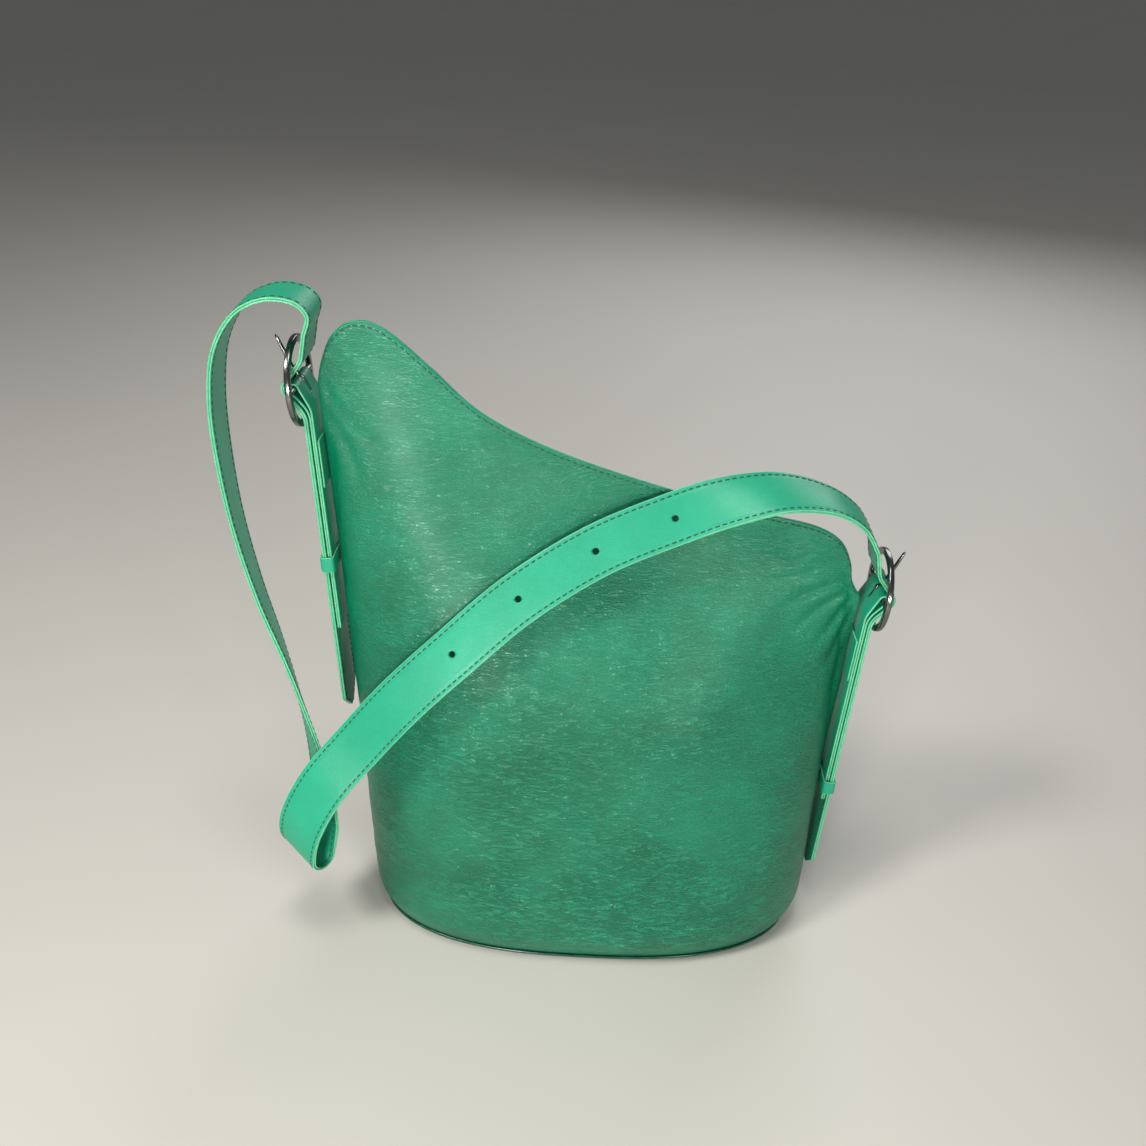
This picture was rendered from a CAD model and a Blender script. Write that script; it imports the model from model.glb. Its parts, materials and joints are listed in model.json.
"""Bucket bag in green leather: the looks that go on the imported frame.

Everything is written in millimetres in the frame's own axes (+X towards the low shoulder, +Y to
the back, +Z up) and scaled to metres when a mesh is made.
"""
import json
import logging
from dataclasses import dataclass, field
from enum import Enum
from math import atan2, copysign, cos, hypot, pi, radians, sin, tan

import bmesh
import bpy
from mathutils import Matrix, Vector, noise


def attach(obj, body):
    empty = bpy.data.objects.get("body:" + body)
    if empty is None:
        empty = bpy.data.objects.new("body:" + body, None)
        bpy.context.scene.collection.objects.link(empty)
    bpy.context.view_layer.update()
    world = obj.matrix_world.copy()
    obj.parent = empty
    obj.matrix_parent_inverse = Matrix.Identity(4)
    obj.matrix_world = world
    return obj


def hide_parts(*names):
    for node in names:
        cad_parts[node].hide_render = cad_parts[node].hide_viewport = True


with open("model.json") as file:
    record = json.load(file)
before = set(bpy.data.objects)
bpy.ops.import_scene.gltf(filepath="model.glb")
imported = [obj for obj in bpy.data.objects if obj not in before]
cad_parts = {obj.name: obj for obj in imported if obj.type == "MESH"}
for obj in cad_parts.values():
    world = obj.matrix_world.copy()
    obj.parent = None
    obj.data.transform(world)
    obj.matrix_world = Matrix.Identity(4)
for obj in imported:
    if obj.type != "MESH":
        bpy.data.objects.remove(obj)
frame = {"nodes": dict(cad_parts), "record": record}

log = logging.getLogger("bucket_bag")

MM = 0.001
FADE_BASE = 2.718  # the base of every bell-shaped fade
MERGE_DISTANCE = 1e-6
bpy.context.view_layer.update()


# ------------------------------------------------------------------ small helpers
def joint_place(name: str) -> Vector:
    """Find a joint's place at rest.

    Args:
        name: the joint's name.

    Returns:
        The place, in millimetres.
    """
    joints = frame["record"]["behaviour"]["joints"]
    found = next(j for j in joints if j["name"] == name)
    return Vector(found["pos_m"]) / MM


def catmull(points: list, place: float) -> Vector:
    """Find a point on the smooth curve through points.

    Args:
        points: the points that the curve passes through.
        place: how far along, counted in points.

    Returns:
        The point.
    """
    index = min(int(place), len(points) - 2)
    near = [points[min(max(index + k, 0), len(points) - 1)] for k in (-1, 0, 1, 2)]
    t = place - index
    weights = (-t + 2 * t**2 - t**3, 2 - 5 * t**2 + 3 * t**3, t + 4 * t**2 - 3 * t**3, t**3 - t**2)
    total = Vector([0.0] * len(points[0]))
    for point, weight in zip(near, weights):
        total += Vector(point) * (weight / 2)
    return total


def spread(first: float, last: float, count: int) -> list:
    """Return count evenly spaced values from first to last."""
    return [first + (last - first) * i / (count - 1) for i in range(count)]


def smooth_step(low: float, high: float, value: float) -> float:
    """Return 0 below low, 1 above high, and a smooth rise between them."""
    t = min(max((value - low) / (high - low), 0.0), 1.0)
    return t * t * (3 - 2 * t)


@dataclass
class Line:
    """A polyline that is read by the distance along it."""

    points: list
    marks: list = field(init=False)

    def __post_init__(self) -> None:
        """Measure the distance of each point from the start."""
        self.marks = [0.0]
        for a, b in zip(self.points, self.points[1:]):
            self.marks.append(self.marks[-1] + (Vector(b) - Vector(a)).length)

    @property
    def length(self) -> float:
        """Return the whole length."""
        return self.marks[-1]

    def at(self, distance: float) -> Vector:
        """Find the point at a distance from the start.

        Args:
            distance: the distance, held within the line.

        Returns:
            The point.
        """
        distance = min(max(distance, 0.0), self.length)
        low, high = 0, len(self.marks) - 1
        while high - low > 1:
            middle = (low + high) // 2
            if self.marks[middle] <= distance:
                low = middle
            else:
                high = middle
        span = self.marks[high] - self.marks[low] or 1.0
        return Vector(self.points[low]).lerp(Vector(self.points[high]), (distance - self.marks[low]) / span)


@dataclass
class MeshMaker:
    """Gathers points and faces in millimetres and makes one object of them."""

    points: list = field(default_factory=list)
    faces: list = field(default_factory=list)
    slots: list = field(default_factory=list)

    def add_faces(self, faces: list, slot: int = 0) -> None:
        """Add faces that all take one material slot."""
        self.faces.extend(faces)
        self.slots.extend([slot] * len(faces))

    def grid(self, rows: list, slot: int = 0, flip: bool = False, closed: bool = False) -> list:
        """Add a grid of points with its quads.

        Args:
            rows: equal lists of points.
            slot: the material slot of the quads.
            flip: turn the faces over.
            closed: join the last point of each row to its first.

        Returns:
            The index of each point, row by row.
        """
        index = []
        for row in rows:
            index.append(list(range(len(self.points), len(self.points) + len(row))))
            self.points.extend(row)
        width = len(rows[0])
        faces = []
        for lower, upper in zip(index, index[1:]):
            for k in range(width if closed else width - 1):
                quad = (lower[k], lower[(k + 1) % width], upper[(k + 1) % width], upper[k])
                faces.append(quad[::-1] if flip else quad)
        self.add_faces(faces, slot)
        return index

    def build(self, name: str, materials: list, smooth: bool = True) -> bpy.types.Object:
        """Make the object.

        Args:
            name: its name.
            materials: its materials, in slot order.
            smooth: shade it smooth.

        Returns:
            The new object, linked to the scene.
        """
        mesh = bpy.data.meshes.new(name)
        mesh.from_pydata([Vector(p) * MM for p in self.points], [], self.faces)
        for material in materials:
            mesh.materials.append(material)
        mesh.polygons.foreach_set("material_index", self.slots)
        mesh.polygons.foreach_set("use_smooth", [smooth] * len(mesh.polygons))
        mesh.validate()
        mesh.update()
        piece = bpy.data.objects.new(name, mesh)
        bpy.context.scene.collection.objects.link(piece)
        return piece


def apply_modifiers(piece: bpy.types.Object) -> None:
    """Bake a piece's modifiers into its mesh.

    Args:
        piece: the piece, changed in place.
    """
    graph = bpy.context.evaluated_depsgraph_get()
    mesh = bpy.data.meshes.new_from_object(piece.evaluated_get(graph))
    old = piece.data
    piece.modifiers.clear()
    piece.data = mesh
    bpy.data.meshes.remove(old)


def weld_normals(piece: bpy.types.Object) -> None:
    """Turn every face of a closed piece outwards.

    Args:
        piece: the piece, changed in place.
    """
    work = bmesh.new()
    work.from_mesh(piece.data)
    bmesh.ops.recalc_face_normals(work, faces=work.faces)
    work.to_mesh(piece.data)
    work.free()


def merge_seam(piece: bpy.types.Object) -> None:
    """Join the first and last rings of a closed piece.

    Args:
        piece: the piece, changed in place.
    """
    work = bmesh.new()
    work.from_mesh(piece.data)
    bmesh.ops.remove_doubles(work, verts=work.verts, dist=MERGE_DISTANCE)
    work.to_mesh(piece.data)
    work.free()


def cut(piece: bpy.types.Object, tools: list) -> None:
    """Cut the shapes of tools out of a piece and delete them.

    Args:
        piece: the piece, changed in place.
        tools: closed solids that say what is cut away.
    """
    for tool in tools:
        carve = piece.modifiers.new("cut", "BOOLEAN")
        carve.operation = "DIFFERENCE"
        carve.solver = "EXACT"
        carve.object = tool
    apply_modifiers(piece)
    for tool in tools:
        bpy.data.objects.remove(tool)


def prism(name: str, outline: list, axis: Vector, half: float) -> bpy.types.Object:
    """Make a straight-sided solid.

    Args:
        name: its name.
        outline: corners of the middle section, in millimetres.
        axis: the direction across the section.
        half: how far it reaches to each side of the section.

    Returns:
        The solid.
    """
    maker = MeshMaker()
    low = [Vector(p) - axis * half for p in outline]
    high = [Vector(p) + axis * half for p in outline]
    index = maker.grid([low, high], closed=True)
    maker.add_faces([tuple(reversed(index[0])), tuple(index[1])])
    piece = maker.build(name, [], smooth=False)
    weld_normals(piece)
    return piece


# ------------------------------------------------------------------ finishes
class Nodes:
    """Short ways to add and join shader nodes in one material."""

    def __init__(self, name: str) -> None:
        """Start a material with its shader and its object coordinates.

        Args:
            name: the material's name.
        """
        self.material = bpy.data.materials.new(name)
        self.material.use_nodes = True
        self.tree = self.material.node_tree
        self.shader = self.tree.nodes["Principled BSDF"]
        self.place = self.tree.nodes.new("ShaderNodeTexCoord").outputs["Object"]

    def add(self, kind: str, inputs: dict | None = None, **settings: object) -> bpy.types.Node:
        """Add a node.

        Args:
            kind: its type without the ShaderNode prefix.
            inputs: sockets to set or to link, by name or number.
            settings: attributes to set.

        Returns:
            The node.
        """
        node = self.tree.nodes.new("ShaderNode" + kind)
        for key, value in settings.items():
            setattr(node, key, value)
        for key, value in (inputs or {}).items():
            if isinstance(value, bpy.types.NodeSocket):
                self.tree.links.new(value, node.inputs[key])
            else:
                node.inputs[key].default_value = value
        return node

    def scaled(self, x: float, y: float, z: float) -> bpy.types.NodeSocket:
        """Return the object coordinates with a scale of their own on each axis."""
        return self.add("Mapping", {"Vector": self.place, "Scale": (x, y, z)}).outputs[0]

    def noise(self, scale: float, detail: float = 2.0, rough: float = 0.5,
              where: bpy.types.NodeSocket | None = None) -> bpy.types.NodeSocket:
        """Return a noise value over the surface."""
        node = self.add("TexNoise", {"Vector": where or self.place, "Scale": scale, "Detail": detail,
                                     "Roughness": rough})
        return node.outputs["Fac"]

    def ramp(self, value: bpy.types.NodeSocket, low: float, high: float,
             to_low: float = 0.0, to_high: float = 1.0) -> bpy.types.NodeSocket:
        """Return value mapped from low..high onto to_low..to_high, clamped."""
        node = self.add("MapRange", {0: value, 1: low, 2: high, 3: to_low, 4: to_high})
        return node.outputs[0]

    def maths(self, operation: str, a: object, b: object) -> bpy.types.NodeSocket:
        """Return the result of a Math node."""
        return self.add("Math", {0: a, 1: b}, operation=operation).outputs[0]

    def mix(self, factor: bpy.types.NodeSocket, first: object, second: object) -> bpy.types.NodeSocket:
        """Return a mix of two colours."""
        node = self.add("Mix", {0: factor, 6: first, 7: second}, data_type="RGBA")
        return node.outputs[2]

    def bump(self, height: bpy.types.NodeSocket, distance: float, strength: float = 1.0,
             under: bpy.types.NodeSocket | None = None) -> bpy.types.NodeSocket:
        """Add a bump.

        Args:
            height: the height over the surface.
            distance: how high a full step stands, in metres.
            strength: how strongly it shows.
            under: the normal it is laid over, if there is one.

        Returns:
            The bumped normal.
        """
        inputs = {"Height": height, "Distance": distance, "Strength": strength}
        if under is not None:
            inputs["Normal"] = under
        return self.add("Bump", inputs).outputs[0]

    def finish(self, colour: object, roughness: object, normal: bpy.types.NodeSocket | None = None,
               **values: float) -> bpy.types.Material:
        """Join the shader up.

        Args:
            colour: socket or colour of the surface.
            roughness: socket or number.
            normal: bumped normal.
            values: plain numbers for the shader's own sockets, with spaces written as _.

        Returns:
            The finished material.
        """
        for socket, value in (("Base Color", colour), ("Roughness", roughness), ("Normal", normal)):
            if isinstance(value, bpy.types.NodeSocket):
                self.tree.links.new(value, self.shader.inputs[socket])
            elif value is not None:
                self.shader.inputs[socket].default_value = value
        for key, value in values.items():
            self.shader.inputs[key.replace("_", " ")].default_value = value
        return self.material


@dataclass(frozen=True)
class LeatherFinish:
    """Dyed leather: mottled colour, pebble grain, level wrinkles low down and a soft gloss."""

    name: str
    deep: tuple
    bright: tuple
    roughness: float = 0.40
    cell: float = 1.9
    grain: float = 0.55
    wrinkle: float = 0.6
    coat: float = 0.12
    calm_height: float = 0.30

    def build(self) -> bpy.types.Material:
        """Make the leather's nodes.

        Returns:
            The material.
        """
        n = Nodes(self.name)
        clouds = n.noise(9.0, 4.0, 0.55)
        pull = n.noise(46.0, 5.0, 0.62)
        height = n.add("SeparateXYZ", {0: n.place}).outputs["Z"]
        low_down = n.ramp(height, 0.03, self.calm_height, 1.0, 0.25)
        drift = n.add("TexNoise", {"Vector": n.place, "Scale": 120.0}).outputs["Color"]
        drift = n.add("VectorMath", {0: drift, 1: (0.004, 0.004, 0.004)}, operation="MULTIPLY").outputs[0]
        drifted = n.add("VectorMath", {0: n.place, 1: drift}, operation="ADD").outputs[0]
        warp = n.add("Mapping", {"Vector": drifted, "Scale": (0.62, 0.62, 1.35)}).outputs[0]
        cells = n.add("TexVoronoi", {"Vector": warp, "Scale": 1000 / self.cell, "Randomness": 1.0},
                      feature="DISTANCE_TO_EDGE").outputs["Distance"]
        pebble = n.ramp(cells, 0.0, 0.22)
        fine = n.add("TexVoronoi", {"Vector": warp, "Scale": 2600 / self.cell, "Randomness": 1.0},
                     feature="DISTANCE_TO_EDGE").outputs["Distance"]
        lines = n.noise(1.0, 5.0, 0.6, n.scaled(95, 95, 400))
        ridge = n.maths("ABSOLUTE", n.maths("SUBTRACT", lines, 0.5), 0.0)
        furrow = n.ramp(ridge, 0.0, 0.07, 1.0, 0.0)
        zone = n.maths("MULTIPLY", n.ramp(n.noise(14.0, 2.0), 0.34, 0.60, 0.45, 1.0), low_down)
        furrows = n.maths("MULTIPLY", furrow, zone)
        grainy = n.maths("MULTIPLY", n.maths("SUBTRACT", 1.0, pebble), n.maths("ADD", zone, 0.25))
        tone = n.maths("ADD", n.maths("MULTIPLY", clouds, 0.65), n.maths("MULTIPLY", pull, 0.35))
        colour = n.mix(n.ramp(tone, 0.36, 0.64), (*self.deep, 1), (*self.bright, 1))
        dark = (*[c * 0.45 for c in self.deep], 1)
        colour = n.mix(n.maths("MULTIPLY", grainy, 0.22), colour, dark)
        colour = n.mix(n.maths("MULTIPLY", furrows, 0.14), colour, dark)
        normal = n.bump(n.ramp(fine, 0.0, 0.25), 0.00005, self.grain * 0.5)
        normal = n.bump(grainy, -0.00035, self.grain, normal)
        normal = n.bump(furrows, -0.0007, self.wrinkle, normal)
        normal = n.bump(pull, 0.0012, 0.22, normal)
        rough = n.ramp(tone, 0.3, 0.7, self.roughness + 0.08, self.roughness - 0.06)
        return n.finish(colour, rough, normal, Coat_Weight=self.coat, Coat_Roughness=0.3,
                        Specular_IOR_Level=0.42)


@dataclass(frozen=True)
class EdgeFinish:
    """Painted and rubbed cut edge of leather."""

    name: str
    colour: tuple
    worn: tuple
    roughness: float = 0.4

    def build(self) -> bpy.types.Material:
        """Make the edge paint's nodes.

        Returns:
            The material.
        """
        n = Nodes(self.name)
        streak = n.noise(240.0, 4.0, 0.6)
        rub = n.noise(900.0, 3.0, 0.6)
        colour = n.mix(n.ramp(streak, 0.35, 0.7), (*self.colour, 1), (*self.worn, 1))
        normal = n.bump(rub, 0.0001, 0.25)
        rough = n.ramp(streak, 0.3, 0.7, self.roughness - 0.08, self.roughness + 0.1)
        return n.finish(colour, rough, normal, Coat_Weight=0.2, Coat_Roughness=0.2)


@dataclass(frozen=True)
class ThreadFinish:
    """Waxed sewing thread with its twist."""

    name: str
    colour: tuple

    def build(self) -> bpy.types.Material:
        """Make the thread's nodes.

        Returns:
            The material.
        """
        n = Nodes(self.name)
        twist = n.add("TexWave", {"Vector": n.place, "Scale": 900.0, "Distortion": 1.5},
                      bands_direction="DIAGONAL").outputs["Fac"]
        colour = n.mix(n.ramp(twist, 0.0, 1.0, 0.0, 0.6), (*self.colour, 1),
                       (*[c * 0.45 for c in self.colour], 1))
        return n.finish(colour, 0.55, n.bump(twist, 0.0001, 0.4), Sheen_Weight=0.2)


@dataclass(frozen=True)
class MetalFinish:
    """Plated metal, polished and lightly rubbed."""

    name: str
    colour: tuple
    roughness: float

    def build(self) -> bpy.types.Material:
        """Make the metal's nodes.

        Returns:
            The material.
        """
        n = Nodes(self.name)
        haze = n.noise(160.0, 4.0, 0.6)
        rubs = n.noise(1.0, 3.0, 0.7, n.scaled(2200, 500, 2200))
        colour = n.mix(n.ramp(haze, 0.35, 0.7), (*self.colour, 1), (*[c * 0.72 for c in self.colour], 1))
        rough = n.ramp(n.maths("ADD", n.maths("MULTIPLY", haze, 0.5), n.maths("MULTIPLY", rubs, 0.5)),
                       0.3, 0.7, self.roughness * 0.7, self.roughness * 1.5)
        return n.finish(colour, rough, n.bump(rubs, 0.00002, 0.25), Metallic=1.0)


@dataclass(frozen=True)
class ClothFinish:
    """Plain-woven lining cloth."""

    name: str
    colour: tuple
    pitch: float = 0.45

    def build(self) -> bpy.types.Material:
        """Make the cloth's nodes.

        Returns:
            The material.
        """
        n = Nodes(self.name)
        warp = n.add("TexWave", {"Vector": n.place, "Scale": 160 / self.pitch, "Distortion": 0.3},
                     bands_direction="X").outputs["Fac"]
        weft = n.add("TexWave", {"Vector": n.place, "Scale": 160 / self.pitch, "Distortion": 0.3},
                     bands_direction="Z").outputs["Fac"]
        weave = n.maths("MAXIMUM", warp, weft)
        slub = n.noise(90.0, 3.0)
        shaded = (*[c * 0.5 for c in self.colour], 1)
        colour = n.mix(n.ramp(n.maths("MULTIPLY", weave, slub), 0.1, 0.6), shaded, (*self.colour, 1))
        return n.finish(colour, 0.8, n.bump(weave, 0.0001, 0.5), Sheen_Weight=0.3)


@dataclass(frozen=True)
class BoardFinish:
    """Pressed stiffener board, matt and fibrous."""

    name: str
    colour: tuple

    def build(self) -> bpy.types.Material:
        """Make the board's nodes.

        Returns:
            The material.
        """
        n = Nodes(self.name)
        fibre = n.noise(1.0, 5.0, 0.7, n.scaled(600, 180, 180))
        colour = n.mix(n.ramp(fibre, 0.3, 0.7), (*self.colour, 1), (*[c * 0.6 for c in self.colour], 1))
        return n.finish(colour, 0.85, n.bump(fibre, 0.0001, 0.4))


@dataclass
class Wardrobe:
    """Every finish of the bag, made once."""

    body: bpy.types.Material = field(init=False)
    inside: bpy.types.Material = field(init=False)
    strap: bpy.types.Material = field(init=False)
    backing: bpy.types.Material = field(init=False)
    body_edge: bpy.types.Material = field(init=False)
    strap_edge: bpy.types.Material = field(init=False)
    bead: bpy.types.Material = field(init=False)
    thread: bpy.types.Material = field(init=False)
    body_thread: bpy.types.Material = field(init=False)
    cloth: bpy.types.Material = field(init=False)
    board: bpy.types.Material = field(init=False)
    buckle: bpy.types.Material = field(init=False)
    snap: bpy.types.Material = field(init=False)

    def __post_init__(self) -> None:
        """Build the materials."""
        self.body = LeatherFinish("body_leather", (0.0004, 0.150, 0.070), (0.0015, 0.25, 0.125), 0.33,
                                  grain=0.8, wrinkle=0.85, coat=0.12).build()
        self.inside = LeatherFinish("facing_leather", (0.002, 0.10, 0.05), (0.004, 0.15, 0.08), 0.5).build()
        self.strap = LeatherFinish("strap_leather", (0.006, 0.30, 0.165), (0.014, 0.38, 0.215), 0.42,
                                   cell=1.0, grain=0.22, wrinkle=0.1, coat=0.08, calm_height=0.04).build()
        self.backing = LeatherFinish("strap_backing", (0.006, 0.28, 0.15), (0.012, 0.36, 0.20), 0.5,
                                     cell=0.9, grain=0.18, wrinkle=0.08, coat=0.05, calm_height=0.04).build()
        self.body_edge = EdgeFinish("body_edge_paint", (0.006, 0.20, 0.105), (0.02, 0.32, 0.18)).build()
        self.strap_edge = EdgeFinish("strap_edge_paint", (0.11, 0.50, 0.26), (0.16, 0.58, 0.33)).build()
        self.bead = EdgeFinish("base_bead", (0.002, 0.05, 0.026), (0.006, 0.10, 0.055), 0.2).build()
        self.thread = ThreadFinish("strap_thread", (0.003, 0.085, 0.045)).build()
        self.body_thread = ThreadFinish("body_thread", (0.003, 0.10, 0.055)).build()
        self.cloth = ClothFinish("lining_cloth", (0.05, 0.085, 0.07)).build()
        self.board = BoardFinish("base_board", (0.18, 0.175, 0.16)).build()
        self.buckle = MetalFinish("buckle_metal", (0.20, 0.205, 0.20), 0.2).build()
        self.snap = MetalFinish("snap_metal", (0.62, 0.61, 0.58), 0.25).build()


# ------------------------------------------------------------------ body
class Face(Enum):
    """Which of the two body panels."""

    FRONT = "front"
    BACK = "back"

    @property
    def sign(self) -> int:
        """Return the side of the middle plane that the panel is on."""
        return -1 if self is Face.FRONT else 1


@dataclass(frozen=True)
class BodyShape:
    """The surface that every layer of the body follows."""

    half_width: float = 142.0
    half_depth: float = 80.0
    roundness: float = 2.6
    bottom: float = 2.2
    tuck: float = 7.0
    tuck_height: float = 20.0
    rim_half_gap: float = 5.8
    seam_half_gap: float = 1.7
    seam_gap: float = 0.1
    back_rim_drop: float = 5.0
    pinch: float = 0.96
    rim: tuple = ((-158.2, 352), (-155, 365), (-148.5, 379), (-137, 387.5), (-121, 384), (-98, 365),
                  (-70, 340), (-30, 320), (25, 302), (80, 288), (118, 280), (135, 271), (143, 257),
                  (146, 244), (152.7, 233))

    def rim_line(self) -> Line:
        """Return the rim from the left notch over the peak to the right one."""
        points = [(x, 0.0, z) for x, z in self.rim]
        return Line([catmull(points, i / 12) for i in range((len(points) - 1) * 12 + 1)])

    def oval(self, share: float, inset: float) -> tuple:
        """Find a point of the base oval.

        Args:
            share: 0 at the left seam, 1 at the right one, on to 2 round the back.
            inset: how far inside the oval.

        Returns:
            Its x and y.
        """
        angle = pi * (1 + share)
        power = 2 / self.roundness
        x = (self.half_width - inset) * copysign(abs(cos(angle)) ** power, cos(angle))
        y = (self.half_depth - inset) * copysign(abs(sin(angle)) ** power, sin(angle))
        return x, y

    def place(self, face: Face, across: float, up: float, inset: float, rim: Line) -> Vector:
        """Find a point of the body.

        Args:
            face: front or back panel.
            across: share of the way from the left seam to the right one.
            up: share of the way from the base to the rim.
            inset: how far inside the outer face.
            rim: the rim's line.

        Returns:
            The point.
        """
        x_base, y_base = self.oval(across, inset)
        y_base = abs(y_base)
        rim_place = rim.at(across * rim.length)
        arch = max(sin(pi * across), 0.0) ** 0.5
        z_rim = rim_place.z - (0 if face is Face.FRONT else self.back_rim_drop * arch)
        y_rim = self.seam_half_gap + (self.rim_half_gap - self.seam_half_gap) * arch - inset
        share = min(up / self.pinch, 1)
        swell = (1 - share**2) ** 1.35
        z = self.bottom + (z_rim - self.bottom) * up
        roll = self.tuck * max(1 - (z - self.bottom) / self.tuck_height, 0) ** 2
        x = x_base + (rim_place.x + inset * (1 - 2 * across) - x_base) * up
        x -= roll * x_base / self.half_width
        y = self.seam_gap + y_rim * share**2 + y_base * (swell - roll / self.half_depth)
        return Vector((x, face.sign * y, z))


@dataclass(frozen=True)
class Crease:
    """One pulled fold in the leather: a shallow trough with a raised lip, fading at both ends."""

    start: tuple
    end: tuple
    depth: float
    width: float
    bow: float = 0.0

    def height(self, x: float, z: float) -> float:
        """Work out the fold's height.

        Args:
            x: place across the panel.
            z: height on the panel.

        Returns:
            How far the fold moves the leather out, in millimetres.
        """
        ax, az = self.start
        run_x, run_z = self.end[0] - ax, self.end[1] - az
        length = hypot(run_x, run_z)
        along = ((x - ax) * run_x + (z - az) * run_z) / length**2
        if not -0.15 < along < 1.15:
            return 0.0
        aside = ((x - ax) * run_z - (z - az) * run_x) / length
        aside -= self.bow * 4 * along * (1 - along)
        fade = smooth_step(-0.15, 0.12, along) * (1 - smooth_step(0.45, 1.15, along))
        spot = aside / self.width
        if abs(spot) > 4:
            return 0.0
        trough = -(FADE_BASE ** (-spot * spot))
        lip = 0.55 * FADE_BASE ** (-(spot - 1.5) ** 2) + 0.35 * FADE_BASE ** (-(spot + 1.5) ** 2)
        return self.depth * fade * (trough + lip)


@dataclass
class Stitcher:
    """Sews a row of raised stitches along a line on a surface."""

    pitch: float = 4.2
    length: float = 3.0
    radius: float = 0.36
    sides: int = 6
    sink: float = 0.2

    def row(self, maker: MeshMaker, line: Line, outward: list, start: float = 0.0) -> None:
        """Add one row of stitches.

        Args:
            maker: the mesh that takes them.
            line: where the row runs, on the surface.
            outward: the surface's outward direction at each point of line.
            start: where the first stitch begins.
        """
        place = start
        while place + self.length <= line.length:
            rings = []
            for share in (0.0, 0.12, 0.35, 0.65, 0.88, 1.0):
                here = place + self.length * share
                centre = line.at(here)
                ahead = (line.at(min(here + 0.3, line.length)) - line.at(max(here - 0.3, 0))).normalized()
                up = self.normal_at(line, outward, here)
                up = (up - ahead * up.dot(ahead)).normalized()
                aside = ahead.cross(up)
                bulge = 0.75 * sin(pi * share) ** 0.5 if 0 < share < 1 else -0.9
                rise = self.radius * bulge - self.sink * 0.3
                thick = self.radius * (1.0 if 0 < share < 1 else 0.55)
                ring = []
                for k in range(self.sides):
                    angle = 2 * pi * k / self.sides
                    spread_out = aside * (thick * 1.15 * cos(angle))
                    ring.append(centre + up * (rise + thick * sin(angle)) + spread_out)
                rings.append(ring)
            index = maker.grid(rings, closed=True)
            maker.add_faces([tuple(reversed(index[0])), tuple(index[-1])])
            place += self.pitch

    @staticmethod
    def normal_at(line: Line, outward: list, distance: float) -> Vector:
        """Find the outward direction at a distance along a line.

        Args:
            line: the line.
            outward: the direction at each of its points.
            distance: how far along.

        Returns:
            The direction.
        """
        low, high = 0, len(line.marks) - 1
        while high - low > 1:
            middle = (low + high) // 2
            if line.marks[middle] <= distance:
                low = middle
            else:
                high = middle
        span = line.marks[high] - line.marks[low] or 1.0
        return Vector(outward[low]).lerp(Vector(outward[high]), (distance - line.marks[low]) / span)


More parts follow.
